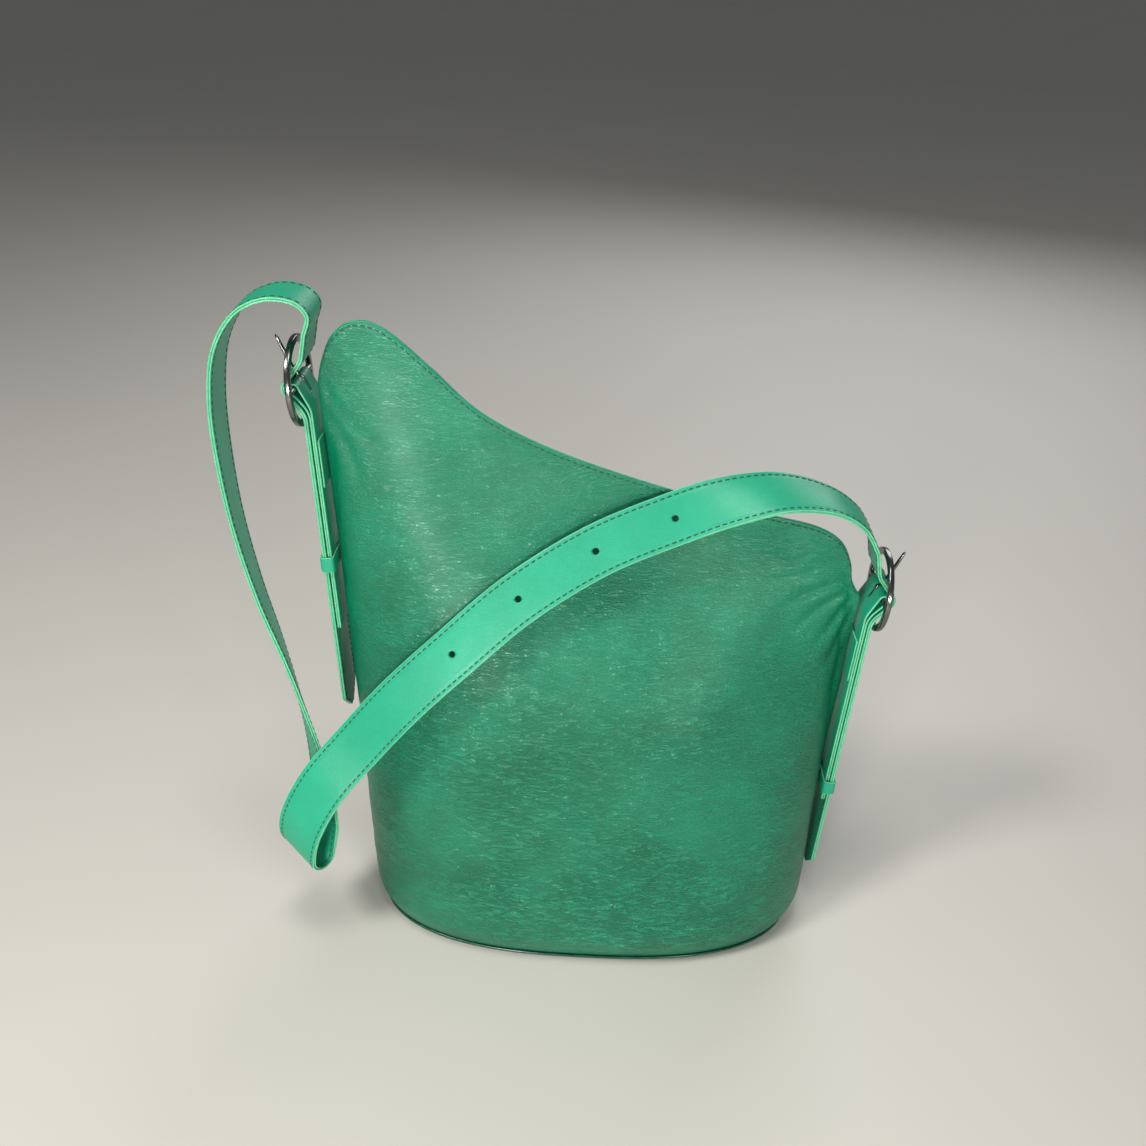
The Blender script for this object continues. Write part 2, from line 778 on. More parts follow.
@dataclass
class Body:
    """Front and back panels with their rims, base, lining, facings and pocket."""

    wardrobe: Wardrobe
    shape: BodyShape = field(default_factory=BodyShape)
    leather: float = 1.5
    lining: float = 0.8
    facing: float = 1.0
    lining_inset: float = 2.2
    lining_top: float = 0.87
    stitch_inset: float = 2.4
    columns: int = 190
    rows: int = 150
    creases: tuple = (
        Crease((146, 250), (98, 246), 0.9, 2.6, 3),
        Crease((147, 245), (104, 230), 1.1, 2.8, 3),
        Crease((148, 240), (110, 214), 1.1, 2.8, 2),
        Crease((149, 236), (120, 200), 1.0, 3.0, -2),
        Crease((150, 230), (130, 184), 0.9, 3.0, -3),
        Crease((144, 258), (92, 262), 0.7, 3.4, -4),
        Crease((151, 220), (140, 160), 0.8, 3.6, -3),
        Crease((-153, 348), (-122, 318), 0.7, 3.6, 4),
        Crease((-155, 338), (-136, 286), 0.8, 4.0, -4),
        Crease((-60, 60), (70, 48), 0.5, 7.0, -6),
        Crease((20, 36), (118, 52), 0.5, 6.0, 6),
        Crease((-128, 84), (-62, 50), 0.5, 6.0, 5),
    )

    def __post_init__(self) -> None:
        """Measure the rim once."""
        self.rim = self.shape.rim_line()

    def softness(self, face: Face, point: Vector, up: float, across: float) -> float:
        """Work out how far the leather stands out from the drafted surface.

        Args:
            face: front or back.
            point: the place on the drafted surface.
            up: share of the height.
            across: share of the way across.

        Returns:
            The distance, in millimetres.
        """
        calm = smooth_step(0.0, 0.06, up) * (1 - smooth_step(0.82, 0.91, up))
        calm *= smooth_step(0.0, 0.03, across) * (1 - smooth_step(0.97, 1.0, across))
        edge_calm = smooth_step(0.0, 0.06, up) * (1 - smooth_step(0.955, 0.995, up))
        x = point.x if face is Face.FRONT else -point.x * 0.9
        slow = noise.noise(Vector((x * 0.011, face.sign * 3.1, point.z * 0.010))) * 1.9
        quick = noise.noise(Vector((x * 0.03, face.sign * 7.3, point.z * 0.042))) * 0.5
        low = noise.noise(Vector((x * 0.035, 4.0 + face.sign, point.z * 0.11))) * 0.4
        low *= 1 - smooth_step(60, 170, point.z)
        folds = sum(c.height(point.x, point.z) for c in self.creases) * (1.0 if face is Face.FRONT else 0.8)
        return calm * (slow + quick + low) + edge_calm * folds

    def surface(self, face: Face, across: float, up: float, inset: float = 0.0) -> Vector:
        """Return a point of the finished, softened surface."""
        return self.shape.place(face, across, up, inset, self.rim)

    def softened(self, face: Face, across: float, up: float, insets: tuple) -> list:
        """Find one place on the panel after softening, at several depths.

        Args:
            face: front or back.
            across: share of the way across.
            up: share of the height.
            insets: the depths inside the outer face.

        Returns:
            One point for each inset.
        """
        point = self.surface(face, across, up)
        right = self.surface(face, min(across + 0.002, 1), up)
        left = self.surface(face, max(across - 0.002, 0), up)
        above = self.surface(face, across, min(up + 0.004, 1))
        below = self.surface(face, across, max(up - 0.004, 0))
        normal = (right - left).cross(above - below).normalized()
        if normal.y * face.sign < 0:
            normal = -normal
        lift = normal * self.softness(face, point, up, across)
        return [self.surface(face, across, up, inset) + lift for inset in insets]

    def panel(self, face: Face) -> bpy.types.Object:
        """Build one body panel with its thickness and painted rim edge.

        Args:
            face: front or back.

        Returns:
            The panel.
        """
        columns = [(1 - cos(pi * i / (self.columns - 1))) / 2 for i in range(self.columns)]
        rows = [(i / (self.rows - 1)) ** 1.15 for i in range(self.rows)]
        outer, inner = [], []
        for up in rows:
            pairs = [self.softened(face, across, up, (0.0, self.leather)) for across in columns]
            outer.append([pair[0] for pair in pairs])
            inner.append([pair[1] for pair in pairs])
        rounded = [p + Vector((0, -face.sign * self.leather * 0.25, 0.3)) for p in outer[-1]]
        rounded_in = [p + Vector((0, face.sign * self.leather * 0.25, 0.3)) for p in inner[-1]]
        maker = MeshMaker()
        flip = face is Face.BACK
        index_out = maker.grid(outer, 0, flip)
        index_in = maker.grid(inner, 1, not flip)
        edge = maker.grid([rounded, rounded_in], 2, flip)
        width = self.columns

        def strip(lower: list, upper: list, slot: int, turn: bool) -> None:
            """Join two rows of points with quads.

            Args:
                lower: indices of one row.
                upper: indices of the other.
                slot: the material slot.
                turn: turn the faces over.
            """
            quads = [(lower[k], lower[k + 1], upper[k + 1], upper[k]) for k in range(len(lower) - 1)]
            maker.add_faces([q[::-1] if turn else q for q in quads], slot)

        strip(index_out[-1], edge[0], 2, flip)
        strip(edge[1], index_in[-1], 2, flip)
        strip(index_in[0], index_out[0], 2, flip)
        strip([r[0] for r in index_in], [r[0] for r in index_out], 2, not flip)
        strip([r[width - 1] for r in index_out], [r[width - 1] for r in index_in], 2, not flip)
        for k in (0, width - 1):
            maker.add_faces([(index_out[-1][k], edge[0][k], edge[1][k], index_in[-1][k])], 2)
        piece = maker.build(f"{face.value}_body_panel", [self.wardrobe.body, self.wardrobe.inside,
                                                         self.wardrobe.body_edge])
        weld_normals(piece)
        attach(piece, "root")
        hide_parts(f"{face.value}_panel")
        return piece

    def rim_stitches(self, face: Face) -> bpy.types.Object:
        """Build the row of stitches just below a panel's rim.

        Args:
            face: front or back.

        Returns:
            The stitches.
        """
        points, normals = [], []
        for across in spread(0.012, 0.988, 420):
            top = self.surface(face, across, 1.0)
            below = self.surface(face, across, 0.99)
            drop = (top - below).length or 1.0
            points.append(top.lerp(below, min(self.stitch_inset / drop, 2.0)))
            normals.append(Vector((0, face.sign, 0)))
        maker = MeshMaker()
        Stitcher(pitch=3.9, length=2.8, radius=0.34).row(maker, Line(points), normals)
        piece = maker.build(f"{face.value}_rim_stitches", [self.wardrobe.body_thread])
        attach(piece, "root")
        return piece

    def layer(self, name: str, node: str, face: Face, inset: float, thickness: float,
              span: tuple, rise: tuple, materials: list) -> bpy.types.Object:
        """Build a thin inner layer that follows the body.

        Args:
            name: name of the piece.
            node: the node that it stands for.
            face: front or back.
            inset: outer face of the layer, inside the body's outer face.
            thickness: its own thickness.
            span: first and last share across.
            rise: first and last share up.
            materials: face and edge materials.

        Returns:
            The piece.
        """
        depths = (inset, inset + thickness)
        pairs = [[self.softened(face, a, u, depths) for a in spread(*span, 90)] for u in spread(*rise, 80)]
        grids = [[[pair[k] for pair in row] for row in pairs] for k in (0, 1)]
        maker = MeshMaker()
        first, second = maker.grid(grids[0]), maker.grid(grids[1])

        def border(index: list) -> list:
            """List the points round the layer's edge.

            Args:
                index: the grid's point indices.

            Returns:
                The indices, in order round the edge.
            """
            sides = [r[-1] for r in index[1:-1]]
            back = [r[0] for r in index[1:-1]]
            return index[0] + sides + index[-1][::-1] + back[::-1]

        one, two = border(first), border(second)
        count = len(one)
        pairs = [(k, (k + 1) % count) for k in range(count)]
        maker.add_faces([(one[k], one[after], two[after], two[k]) for k, after in pairs], 1)
        piece = maker.build(name, materials)
        weld_normals(piece)
        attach(piece, "root")
        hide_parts(node)
        return piece

    def inside(self) -> list:
        """Build the linings, the facings and the pocket.

        Returns:
            The pieces.
        """
        w = self.wardrobe
        made = []
        top = self.lining_top
        for face in Face:
            side = face.value
            made.append(self.layer(
                f"{side}_lining_cloth", f"{side}_lining", face, self.lining_inset, self.lining,
                (0.04, 0.96), (0.02, top), [w.cloth, w.cloth]))
            made.append(self.layer(
                f"{side}_mouth_facing", f"{side}_facing", face, self.lining_inset, self.facing,
                (0.07, 0.93), (top + 0.005, 0.99), [w.inside, w.body_edge]))
        made.append(self.layer(
            "lining_pocket", "inner_pocket", Face.BACK, self.lining_inset + self.lining + 0.5, 0.7,
            (0.3, 0.7), (0.38, 0.74), [w.cloth, w.body_edge]))
        return made

    def oval_ring(self, inset: float, z: float, count: int = 240) -> list:
        """Return points round the base oval, inset from where the body meets it."""
        return [Vector((*self.shape.oval(2 * i / count, self.shape.tuck + inset), z)) for i in range(count)]

    def base(self) -> list:
        """Build the base sole, its glossy bead, the board and the lining on it.

        Returns:
            The pieces.
        """
        made = []
        plates = (
            ("base_sole", "base_panel", 0.2, 0.0, 2.0, self.wardrobe.body, "body_leather"),
            ("base_stiffener", "base_board", 3.6, 2.2, 4.2, self.wardrobe.board, "stiffener"),
            ("base_cloth", "base_lining", 4.6, 4.4, 5.2, self.wardrobe.cloth, "lining_cloth"),
        )
        for name, node, inset, low, high, material, slot in plates:
            round_off = 0.5
            rings = []
            for share in (0.3, 0.6, 0.85, 0.96):
                outline = self.oval_ring(inset + round_off, low)
                rings.append([Vector((p.x * share, p.y * share, low)) for p in outline])
            rings += [self.oval_ring(inset + round_off, low), self.oval_ring(inset + 0.15, low + 0.15),
                      self.oval_ring(inset, low + round_off), self.oval_ring(inset, high - round_off),
                      self.oval_ring(inset + 0.15, high - 0.15), self.oval_ring(inset + round_off, high)]
            for share in (0.96, 0.85, 0.6, 0.3):
                rings.append([Vector((p.x * share, p.y * share, high)) for p in self.oval_ring(inset, high)])
            maker = MeshMaker()
            index = maker.grid(rings, closed=True)
            maker.add_faces([tuple(reversed(index[0])), tuple(index[-1])])
            piece = maker.build(name, [material])
            weld_normals(piece)
            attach(piece, "root")
            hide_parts(node)
            made.append(piece)
        maker = MeshMaker()
        rings = []
        for k in range(12):
            angle = 2 * pi * k / 12
            rings.append(self.oval_ring(-0.75 - 0.8 * cos(angle), 1.35 + 0.95 * sin(angle), 300))
        index = maker.grid(rings + [rings[0]], closed=True)
        bead = maker.build("base_edge_bead", [self.wardrobe.bead])
        merge_seam(bead)
        weld_normals(bead)
        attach(bead, "root")
        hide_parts("base_binding")
        made.append(bead)
        return made

    def build(self) -> list:
        """Build the whole body.

        Returns:
            Its pieces.
        """
        made = [self.panel(face) for face in Face]
        made += [self.rim_stitches(face) for face in Face]
        made += self.inside()
        made += self.base()
        return made


# ------------------------------------------------------------------ side hardware
class Side(Enum):
    """Which end of the bag."""

    LEFT = "left"
    RIGHT = "right"

    @property
    def outward(self) -> int:
        """Return the direction along X that points out of the bag."""
        return -1 if self is Side.LEFT else 1


@dataclass(frozen=True)
class SidePlane:
    """The upright section through one buckle: out of the bag, and up along the side seam."""

    side: Side
    seam_spread: float = 0.046

    @property
    def bar(self) -> Vector:
        """Return the middle of the buckle's bar."""
        return joint_place(f"{self.side.value}_buckle_tilt")

    @property
    def out(self) -> Vector:
        """Return the direction out of the bag."""
        return Vector((self.side.outward, 0, -self.seam_spread)).normalized()

    @property
    def up(self) -> Vector:
        """Return the direction up along the seam."""
        return Vector((self.side.outward * self.seam_spread, 0, 1)).normalized()

    def at(self, out: float, up: float, aside: float = 0.0) -> Vector:
        """Return the point at a place of the section, moved aside along Y."""
        return self.bar + self.out * out + self.up * up + Vector((0, aside, 0))


def rounded_path(corners: list, radii: list, step: float = 1.0) -> list:
    """Round the corners of a flat polyline.

    Args:
        corners: the corners, as (x, y).
        radii: one radius for each inner corner.
        step: spacing of the points on the straight parts.

    Returns:
        The points of the rounded line.
    """
    line = [Vector(corners[0])]
    for k, radius in enumerate(radii):
        before, corner, after = (Vector(corners[k + j]) for j in range(3))
        one, two = (before - corner).normalized(), (after - corner).normalized()
        half = one.angle(two) / 2
        reach = radius / tan(half)
        middle = corner + (one + two).normalized() * (radius / sin(half))
        start, end = corner + one * reach, corner + two * reach
        a0 = atan2(*(start - middle).yx)
        a1 = atan2(*(end - middle).yx)
        turn = (a1 - a0 + pi) % (2 * pi) - pi
        bearings = [a0 + turn * i / 12 for i in range(13)]
        line += [middle + Vector((cos(a), sin(a))) * radius for a in bearings]
    line.append(Vector(corners[-1]))
    full = [line[0]]
    for a, b in zip(line, line[1:]):
        count = max(int((b - a).length / step), 1)
        full += [a.lerp(b, (i + 1) / count) for i in range(count)]
    return full


@dataclass(frozen=True)
class Weave:
    """The strap's way through a buckle and down to its tail, as (outwards, upwards) from the bar."""

    corners: tuple = ((-9.5, 30), (-6.0, 15.5), (6.7, 0), (-4.6, -14.5), (-4.6, -214))
    radii: tuple = (12, 5.5, 12)
    tail_offset: float = -4.6
    tab_offset: float = -8.1

    def line(self) -> list:
        """Return the rounded line from the shoulder end to the tail's end."""
        return rounded_path(list(self.corners), list(self.radii))

    def slope(self) -> Vector:
        """Return the direction of the leather from its tail up to the bar."""
        return (Vector(self.corners[2]) - Vector(self.corners[3])).normalized()


@dataclass
class Frames:
    """A ribbon's middle line with its width and outward directions."""

    points: list
    across: list
    out: list = field(init=False)

    def __post_init__(self) -> None:
        """Square the width directions to the line."""
        last = len(self.points) - 1
        squared, self.out = [], []
        for k, width in enumerate(self.across):
            ahead = (self.points[min(k + 1, last)] - self.points[max(k - 1, 0)]).normalized()
            width = (width - ahead * width.dot(ahead)).normalized()
            squared.append(width)
            self.out.append(width.cross(ahead))
        self.across = squared


@dataclass
class Ribbon:
    """A flat leather strip with a crowned face, rounded painted edges and shallow stitch grooves."""

    width: float
    thickness: float
    crown: float = 0.25
    groove: float = 0.25
    groove_inset: float = 2.5
    faces: int = 26
    point: float = 0.0
    tip: float = 3.0

    def half(self, distance: float, length: float) -> float:
        """Find half the width, allowing for pointed ends.

        Args:
            distance: how far along the strip.
            length: the strip's whole length.

        Returns:
            Half the width there.
        """
        if not self.point:
            return self.width / 2
        near = min(distance, length - distance)
        return min(self.width / 2, self.tip + (self.width / 2 - self.tip) * near / self.point)

    def top(self, aside: float, half: float) -> float:
        """Return the height of the face over the strip's middle layer."""
        groove = self.groove * FADE_BASE ** (-((abs(aside) - half + self.groove_inset) / 0.7) ** 2)
        return self.thickness / 2 - self.crown * (aside / half) ** 2 - groove

    def section(self, half: float, both: bool) -> list:
        """Draw the strip's section, anticlockwise from its lower left.

        Args:
            half: half its width there.
            both: crown both sides.

        Returns:
            Its points as (aside, out).
        """
        side = self.thickness / 2
        round_off = min(0.42, side * 0.7)
        spots = [(-1 + 2 * i / (self.faces - 1)) * (half - round_off) for i in range(self.faces)]
        low = [(a, -(self.top(a, half) if both else side)) for a in spots]
        high = [(a, self.top(a, half)) for a in reversed(spots)]
        rise = self.top(half - round_off, half) - 0.18
        right = [(half - 0.08, -rise + 0.05), (half, 0.0), (half - 0.08, rise - 0.05)]
        left = [(-a, -h) for a, h in right]
        return low + right + high + left

    def build(self, name: str, frames: Frames, materials: list, shift: float = 0.0,
              flip: bool = False, both: bool = False) -> bpy.types.Object:
        """Build the strip.

        Args:
            name: name of the piece.
            frames: the line it follows.
            materials: grain, edge and underside materials.
            shift: how far its middle layer lies out of the line.
            flip: put the crowned face on the inner side.
            both: crown both sides.

        Returns:
            The piece.
        """
        line = Line(frames.points)
        maker = MeshMaker()
        rings = []
        for k, centre in enumerate(frames.points):
            half = self.half(line.marks[k], line.length)
            ring = []
            for aside, out in self.section(half, both):
                height = shift + (-out if flip else out)
                ring.append(centre + frames.across[k] * aside + frames.out[k] * height)
            rings.append(ring)
        index = maker.grid(rings, closed=True)
        maker.add_faces([tuple(reversed(index[0])), tuple(index[-1])], 1)
        count = len(rings[0])
        kinds = []
        for k in range(count):
            if k < self.faces - 1:
                kinds.append(2)
            elif self.faces + 3 <= k < 2 * self.faces + 2:
                kinds.append(0)
            else:
                kinds.append(1)
        for row in range(len(rings) - 1):
            maker.slots[row * count:(row + 1) * count] = kinds
        piece = maker.build(name, materials)
        weld_normals(piece)
        return piece


@dataclass
class Tab:
    """The strip folded over a buckle's bar and sewn to the side of the bag, with its patch."""

    plane: SidePlane
    weave: Weave
    wardrobe: Wardrobe
    width: float = 28.0
    ply: float = 1.2
    gap: float = 0.1
    bend: float = 2.55
    lean: float = radians(66.1)
    length: float = 150.0
    fold: float = 14.0

    def line(self) -> list:
        """Draw the middle of the folded strip in the section.

        Returns:
            Its points, from the outer end to the inner end.
        """
        slope = self.weave.slope()
        outer, inner = self.weave.tab_offset + self.ply + self.gap, self.weave.tab_offset
        rise = Vector((self.bend * slope.y, -self.bend * slope.x))
        fall = Vector((-self.bend * sin(self.lean), self.bend * cos(self.lean)))
        outer_corner = (outer, (slope.y * outer - self.bend) / slope.x)
        inner_corner = (inner, (self.bend + sin(self.lean) * inner) / cos(self.lean))
        up_leg = rounded_path([(outer, -self.length), outer_corner, rise], [self.fold])
        down_leg = rounded_path([fall, inner_corner, (inner, -self.length)], [self.fold])
        first, last = atan2(rise.y, rise.x), atan2(fall.y, fall.x)
        bow = [Vector((cos(a), sin(a))) * self.bend for a in spread(first, last, 16)[1:-1]]
        return up_leg + bow + down_leg

    def build(self) -> list:
        """Build the tab and its patch.

        Returns:
            The pieces.
        """
        side = self.plane.side.value
        points = [self.plane.at(p.x, p.y) for p in self.line()]
        frames = Frames(points, [Vector((0, -1, 0))] * len(points))
        ribbon = Ribbon(self.width, self.ply, crown=0.08, groove=0.12, groove_inset=2.2, faces=16)
        strap, edge, back = self.wardrobe.strap, self.wardrobe.strap_edge, self.wardrobe.backing
        piece = ribbon.build(f"{side}_side_tab", frames, [strap, edge, back])
        if frames.out[len(points) // 4].dot(self.plane.out) < 0:
            piece.data.materials[0], piece.data.materials[2] = back, strap
        corners = [self.plane.at(x, y) for x, y in ((-7, -5.5), (7, -5.5), (7, 5.5), (-7, 5.5))]
        cut(piece, [prism("slot", corners, Vector((0, 1, 0)), 1.8)])
        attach(piece, "root")
        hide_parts(f"{side}_tab")
        patch = self.patch()
        return [piece, patch]

    def patch(self) -> bpy.types.Object:
        """Build the reinforcing patch between the tab and the bag.

        Returns:
            The patch.
        """
        side = self.plane.side.value
        middle = self.weave.tab_offset - self.ply / 2 - 0.7
        points = [self.plane.at(middle, up) for up in spread(-58, -30, 40)]
        frames = Frames(points, [Vector((0, -1, 0))] * len(points))
        ribbon = Ribbon(26, 1.05, crown=0.06, groove=0.12, groove_inset=2.2, faces=16)
        piece = ribbon.build(f"{side}_seam_patch", frames, [self.wardrobe.strap, self.wardrobe.strap_edge,
                                                            self.wardrobe.backing])
        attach(piece, "root")
        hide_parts(f"{side}_tab_patch")
        return piece


@dataclass
class Buckle:
    """A flat round ring with a bar across it, and the prong that swings on the bar."""

    plane: SidePlane
    wardrobe: Wardrobe
    outer: float = 25.0
    inner: float = 21.0
    thickness: float = 3.2
    edge: float = 0.9
    bar_radius: float = 1.8
    hub_radius: float = 3.3
    bore: float = 1.85
    prong_width: float = 2.6
    prong_thickness: float = 2.0
    prong_reach: float = 27.5
    prong_lean: float = 20.0

    def ring_section(self) -> list:
        """Draw the ring's section.

        Returns:
            Its points as (radius, out).
        """
        half = self.thickness / 2
        corners = ((self.outer, half), (self.outer, -half), (self.inner, -half), (self.inner, half))
        turns = ((0, 90), (-90, 0), (180, 270), (90, 180))
        section = []
        for (radius, out), (a0, a1) in zip(corners, turns):
            mid_r = radius - copysign(self.edge, radius - (self.outer + self.inner) / 2)
            mid_o = out - copysign(self.edge, out)
            first, last = (a1, a0)
            for i in range(6):
                angle = radians(first + (last - first) * i / 5)
                section.append((mid_r + self.edge * cos(angle), mid_o + self.edge * sin(angle)))
        return section

    def ring(self) -> bpy.types.Object:
        """Build the ring with its bar.

        Returns:
            The ring.
        """
        name = f"{self.plane.side.value}_buckle"
        maker = MeshMaker()
        rings = []
        for k in range(144):
            turn = 2 * pi * k / 144
            rings.append([self.plane.at(out, radius * cos(turn), radius * sin(turn))
                          for radius, out in self.ring_section()])
        maker.grid(rings + [rings[0]], closed=True)
        piece = maker.build(f"{name}_ring", [self.wardrobe.buckle])
        merge_seam(piece)
        weld_normals(piece)
        bar = self.rod("bar", [(-22.3, 1.75), (-21, 1.9), (-19.8, self.bar_radius), (19.8, self.bar_radius),
                               (21, 1.9), (22.3, 1.75)])
        self.join(piece, bar)
        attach(piece, name)
        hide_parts(name)
        return piece

    def rod(self, name: str, profile: list, sides: int = 32) -> bpy.types.Object:
        """Build a round rod along the bar.

        Args:
            name: its name.
            profile: (place along Y, radius) from end to end.
            sides: how many sides round.

        Returns:
            The rod.
        """
        maker = MeshMaker()
        rings = []
        for along, radius in profile:
            bearings = [2 * pi * k / sides for k in range(sides)]
            rings.append([self.plane.at(radius * cos(a), radius * sin(a), along) for a in bearings])
        index = maker.grid(rings, closed=True)
        maker.add_faces([tuple(reversed(index[0])), tuple(index[-1])])
        piece = maker.build(name, [self.wardrobe.buckle])
        weld_normals(piece)
        return piece

    @staticmethod
    def join(piece: bpy.types.Object, other: bpy.types.Object) -> None:
        """Fuse another closed mesh into a piece.

        Args:
            piece: the piece, changed in place.
            other: the mesh, deleted afterwards.
        """
        weld = piece.modifiers.new("join", "BOOLEAN")
        weld.operation = "UNION"
        weld.solver = "EXACT"
        weld.object = other
        apply_modifiers(piece)
        bpy.data.objects.remove(other)

    def prong(self) -> bpy.types.Object:
        """Build the prong: an eye round the bar and a tapering finger with a rounded tip.

        Returns:
            The prong.
        """
        name = f"{self.plane.side.value}_prong"
        lean = radians(self.prong_lean)
        along = self.plane.out * sin(lean) + self.plane.up * cos(lean)
        aside = self.plane.out * cos(lean) - self.plane.up * sin(lean)
        half = self.prong_width / 2
        eye = self.rod(f"{name}_pin", [(-half, self.hub_radius - 0.3), (-half + 0.3, self.hub_radius),
                                       (half - 0.3, self.hub_radius), (half, self.hub_radius - 0.3)])
        maker = MeshMaker()
        rings = []
        sections = ((2.5, 1.0, 1.0), (8, 1.0, 1.0), (16, 0.96, 0.95), (23, 0.88, 0.85), (25.5, 0.8, 0.78),
                    (26.7, 0.66, 0.64), (27.3, 0.42, 0.42), (self.prong_reach, 0.15, 0.15))
        for reach, wide, thick in sections:
            ring = []
            for k in range(24):
                angle = 2 * pi * k / 24
                x = copysign(abs(cos(angle)) ** 0.7, cos(angle)) * self.prong_thickness / 2 * thick
                y = copysign(abs(sin(angle)) ** 0.7, sin(angle)) * half * wide
                ring.append(self.plane.bar + along * reach + aside * x + Vector((0, y, 0)))
            rings.append(ring)
        index = maker.grid(rings, closed=True)
        maker.add_faces([tuple(reversed(index[0])), tuple(index[-1])])
        finger = maker.build("finger", [self.wardrobe.buckle])
        weld_normals(finger)
        self.join(eye, finger)
        cut(eye, [self.rod("bore", [(-4, self.bore), (4, self.bore)])])
        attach(eye, name)
        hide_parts(name)
        return eye


@dataclass
class Keeper:
    """The stitched loop that holds a strap's tail against the tab."""

    plane: SidePlane
    wardrobe: Wardrobe
    drop: float
    back: float = -8.9
    front: float = -3.0
    half_width: float = 15.3
    wall: float = 1.1
    height: float = 9.6
    corner: float = 0.9

    def build(self) -> list:
        """Build the loop and its stitches.

        Returns:
            The pieces.
        """
        side = self.plane.side.value
        reach = self.wall / 2
        low, high = self.back - reach, self.front + reach
        wide = self.half_width + reach
        radius = self.corner + reach
        ordered = []
        for (out, aside), (a0, a1) in (((high, wide), (0, 90)), ((low, wide), (90, 180)),
                                       ((low, -wide), (180, 270)), ((high, -wide), (270, 360))):
            mid = Vector((out - copysign(radius, out - (low + high) / 2), aside - copysign(radius, aside)))
            ordered += [mid + Vector((cos(radians(a)), sin(radians(a)))) * radius for a in spread(a0, a1, 7)]
        section = []
        half = self.height / 2
        outside = ((-half, 0.55), (-half + 0.12, 0.85), (-half + 0.45, 1.0), (-half + 1.2, 1.02), (0, 1.06),
                   (half - 1.2, 1.02), (half - 0.45, 1.0), (half - 0.12, 0.85), (half, 0.55))
        for rise, thick in outside:
            section.append((rise, reach * thick))
        section += [(half - 0.12, -reach * 0.8), (half - 0.5, -reach)]
        section += [(-half + 0.5, -reach), (-half + 0.12, -reach * 0.8)]
        rings = []
        count = len(ordered)
        for k, spot in enumerate(ordered):
            ahead = (ordered[(k + 1) % count] - ordered[k - 1]).normalized()
            outward = Vector((ahead.y, -ahead.x))
            ring = []
            for rise, off in section:
                place = spot + outward * off
                ring.append(self.plane.at(place.x, -self.drop + rise, place.y))
            rings.append(ring)
        maker = MeshMaker()
        maker.grid(rings + [rings[0]], closed=True)
        width = len(section)
        kinds = [1 if k in (0, 1, 7, 8, 9, 11, 12) else (2 if k == 10 else 0) for k in range(width)]
        maker.slots = kinds * count
        piece = maker.build(f"{side}_keeper_loop", [self.wardrobe.strap, self.wardrobe.strap_edge,
                                                    self.wardrobe.backing])
        merge_seam(piece)
        weld_normals(piece)
        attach(piece, f"{side}_keeper")
        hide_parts(f"{side}_keeper")
        return [piece, self.stitches()]

    def stitches(self) -> bpy.types.Object:
        """Build the box of stitches on the loop's face.

        Returns:
            The stitches.
        """
        side = self.plane.side.value
        face = self.front + self.wall + 0.04
        rise, aside = self.height / 2 - 1.7, self.half_width - 2.2
        corners = [(-rise, -aside), (-rise, aside), (rise, aside), (rise, -aside), (-rise, -aside)]
        maker = MeshMaker()
        for (u0, v0), (u1, v1) in zip(corners, corners[1:]):
            line = Line([self.plane.at(face, -self.drop + u0, v0), self.plane.at(face, -self.drop + u1, v1)])
            count = max(round(line.length / 3.2), 1)
            pitch = line.length / count
            Stitcher(pitch=pitch, length=pitch * 0.72, radius=0.28, sides=6).row(
                maker, line, [self.plane.out] * 2, start=pitch * 0.14)
        piece = maker.build(f"{side}_keeper_stitches", [self.wardrobe.thread])
        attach(piece, f"{side}_keeper")
        return piece


